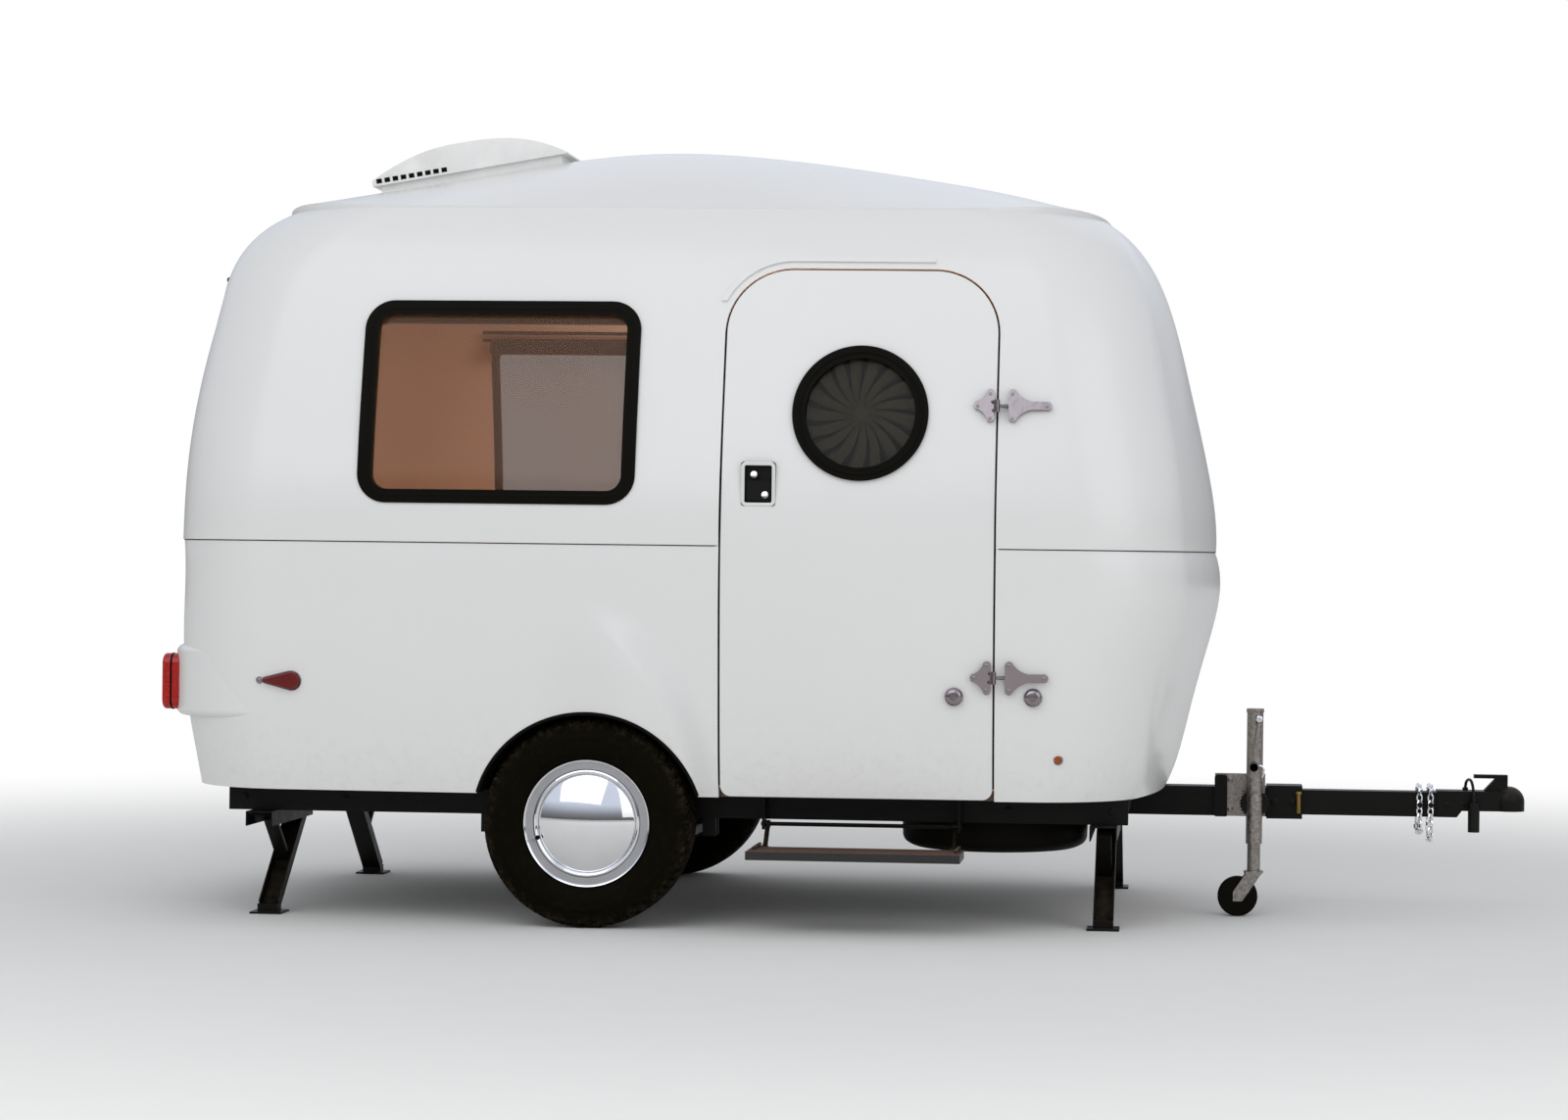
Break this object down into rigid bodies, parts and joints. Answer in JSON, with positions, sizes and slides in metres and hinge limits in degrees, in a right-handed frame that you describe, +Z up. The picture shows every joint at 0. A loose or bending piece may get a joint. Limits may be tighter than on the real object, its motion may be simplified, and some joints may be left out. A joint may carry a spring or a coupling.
{
  "type": "travel caravan",
  "caption": "Small moulded fibreglass travel caravan with a side door, a rear hatch, a raised roof, a tongue jack and corner stabilisers, parked on its stands.",
  "frame": {"origin": "middle of the footprint on the ground", "axes": "+X towards the towing coupler, +Y to the street side, away from the door, +Z up"},
  "size_m": [4.1066, 1.969, 2.3709],
  "materials": {
    "shell_white": "glossy gelcoat on moulded fibreglass",
    "floor_board": "sealed board",
    "liner_black": "black wheel housing",
    "rubber_black": "rubber window section",
    "window_bronze": "tinted acrylic",
    "porthole_dark": "dark tinted acrylic with a blind behind it",
    "frame_black": "black enamel on steel",
    "chrome": "bright plating",
    "zinc": "zinc plated steel",
    "tyre": "tyre rubber",
    "rim_silver": "silver enamel on steel",
    "hinge_cast": "polished cast metal",
    "lens_red": "red lens",
    "lens_amber": "amber lens",
    "fan_white": "white plastic cover",
    "plastic_black": "black moulded plastic",
    "latch_black": "black moulded latch in a white rim",
    "step_brown": "brown grit on steel"
  },
  "bodies": {
    "trailer": {"lower_shell": "shell_white", "upper_shell": "shell_white", "cabin_floor": "floor_board", "wheel_wells": "liner_black", "side_window_frames": "rubber_black", "side_window_glass": "window_bronze", "body_hinge_leaves": "hinge_cast", "hatch_hinge_mounts": "hinge_cast", "chassis_frame": "frame_black", "tongue_beam": "frame_black", "drawbar": "frame_black", "coupler": "frame_black", "coupler_latch": "zinc", "axle_beam": "frame_black", "leaf_springs": "frame_black", "spare_wheel": "tyre", "spare_carrier": "frame_black", "jack_bracket": "frame_black", "stabiliser_bases": "frame_black", "fan_base": "fan_white", "tail_lamps": "lens_red", "marker_lamps": "lens_amber", "safety_chains": "zinc", "wiring_plug": "plastic_black", "wiring_lead": "rubber_black"},
    "door": {"door_panel": "shell_white", "door_window_ring": "rubber_black", "door_window_glass": "porthole_dark", "door_latch": "latch_black", "door_hinge_leaves": "hinge_cast"},
    "hatch": {"hatch_panel": "shell_white", "hatch_window_frame": "rubber_black", "hatch_window_glass": "window_bronze", "hatch_handle": "chrome", "hatch_hinges": "hinge_cast"},
    "fan_cover": {"fan_lid": "fan_white"},
    "kerb_wheel": {"kerb_tyre": "tyre", "kerb_rim": "rim_silver", "kerb_hubcap": "chrome"},
    "street_wheel": {"street_tyre": "tyre", "street_rim": "rim_silver", "street_hubcap": "chrome"},
    "jack": {"jack_tube": "zinc"},
    "jack_inner": {"jack_post": "zinc"},
    "caster": {"caster_fork": "zinc"},
    "caster_roller": {"caster_wheel": "plastic_black"},
    "step_link": {"step_arms": "frame_black"},
    "step": {"step_tread": "step_brown"},
    "rear_kerb_support": {"rear_kerb_leg": "frame_black"},
    "rear_kerb_link": {"rear_kerb_brace": "frame_black"},
    "rear_street_support": {"rear_street_leg": "frame_black"},
    "rear_street_link": {"rear_street_brace": "frame_black"},
    "front_kerb_support": {"front_kerb_leg": "frame_black"},
    "front_kerb_link": {"front_kerb_brace": "frame_black"},
    "front_street_support": {"front_street_leg": "frame_black"},
    "front_street_link": {"front_street_brace": "frame_black"}
  },
  "joints": [
    {"name": "door_hinge", "type": "hinge", "parent": "trailer", "child": "door", "pos_m": [0.4505, -0.96569, 0.744], "axis": [0, 0.0354, 0.9994], "range_deg": [0, 170]},
    {"name": "hatch_hinge", "type": "hinge", "parent": "trailer", "child": "hatch", "pos_m": [-1.94026, 0, 1.9085], "axis": [0, 1, 0], "range_deg": [0, 80]},
    {"name": "fan_cover_hinge", "type": "hinge", "parent": "trailer", "child": "fan_cover", "pos_m": [-0.93975, 0, 2.32444], "axis": [0, 1, 0], "range_deg": [0, 30]},
    {"name": "kerb_wheel_spin", "type": "hinge", "parent": "trailer", "child": "kerb_wheel", "pos_m": [-0.7255, -0.8325, 0.304], "axis": [0, 1, 0], "continuous": true},
    {"name": "street_wheel_spin", "type": "hinge", "parent": "trailer", "child": "street_wheel", "pos_m": [-0.7255, 0.8325, 0.304], "axis": [0, 1, 0], "continuous": true},
    {"name": "jack_swivel", "type": "hinge", "parent": "trailer", "child": "jack", "pos_m": [1.2095, -0.175, 0.345], "axis": [0, 1, 0], "range_deg": [0, 74]},
    {"name": "jack_slide", "type": "slide", "parent": "jack", "child": "jack_inner", "axis": [0, 0, 1], "range_m": [-0.03, 0.07]},
    {"name": "caster_swivel", "type": "hinge", "parent": "jack_inner", "child": "caster", "pos_m": [1.2095, -0.175, 0.14], "axis": [0, 0, 1], "continuous": true},
    {"name": "caster_roll", "type": "hinge", "parent": "caster", "child": "caster_roller", "pos_m": [1.1615, -0.175, 0.061], "axis": [0, 1, 0], "continuous": true},
    {"name": "rear_kerb_fold", "type": "hinge", "parent": "trailer", "child": "rear_kerb_support", "pos_m": [-1.7255, -0.345, 0.282], "axis": [-1, 0, 0], "range_deg": [0, 35.7]},
    {"name": "rear_kerb_link_fold", "type": "hinge", "parent": "rear_kerb_support", "child": "rear_kerb_link", "pos_m": [-1.7255, -0.495, 0.153], "axis": [-1, 0, 0], "range_deg": [-71.4, 0]},
    {"name": "rear_street_fold", "type": "hinge", "parent": "trailer", "child": "rear_street_support", "pos_m": [-1.7255, 0.345, 0.282], "axis": [1, 0, 0], "range_deg": [0, 35.7]},
    {"name": "rear_street_link_fold", "type": "hinge", "parent": "rear_street_support", "child": "rear_street_link", "pos_m": [-1.7255, 0.495, 0.153], "axis": [1, 0, 0], "range_deg": [-71.4, 0]},
    {"name": "front_kerb_fold", "type": "hinge", "parent": "trailer", "child": "front_kerb_support", "pos_m": [0.7645, -0.345, 0.282], "axis": [-1, 0, 0], "range_deg": [0, 35.7]},
    {"name": "front_kerb_link_fold", "type": "hinge", "parent": "front_kerb_support", "child": "front_kerb_link", "pos_m": [0.7645, -0.495, 0.153], "axis": [-1, 0, 0], "range_deg": [-71.4, 0]},
    {"name": "front_street_fold", "type": "hinge", "parent": "trailer", "child": "front_street_support", "pos_m": [0.7645, 0.345, 0.282], "axis": [1, 0, 0], "range_deg": [0, 35.7]},
    {"name": "front_street_link_fold", "type": "hinge", "parent": "front_street_support", "child": "front_street_link", "pos_m": [0.7645, 0.495, 0.153], "axis": [1, 0, 0], "range_deg": [-71.4, 0]},
    {"name": "step_swing", "type": "hinge", "parent": "trailer", "child": "step_link", "pos_m": [-0.7255, -0.735, 0.3], "axis": [1, 0, 0], "range_deg": [0, 88]},
    {"name": "step_level", "type": "hinge", "parent": "step_link", "child": "step", "pos_m": [-0.7255, -0.7975, 0.235], "axis": [1, 0, 0], "range_deg": [-88, 0]}
  ],
  "couplings": [
    {"joint": "rear_kerb_link_fold", "follows": "rear_kerb_fold", "ratio": -2},
    {"joint": "rear_street_link_fold", "follows": "rear_street_fold", "ratio": -2},
    {"joint": "front_kerb_link_fold", "follows": "front_kerb_fold", "ratio": -2},
    {"joint": "front_street_link_fold", "follows": "front_street_fold", "ratio": -2},
    {"joint": "step_level", "follows": "step_swing", "ratio": -1}
  ]
}
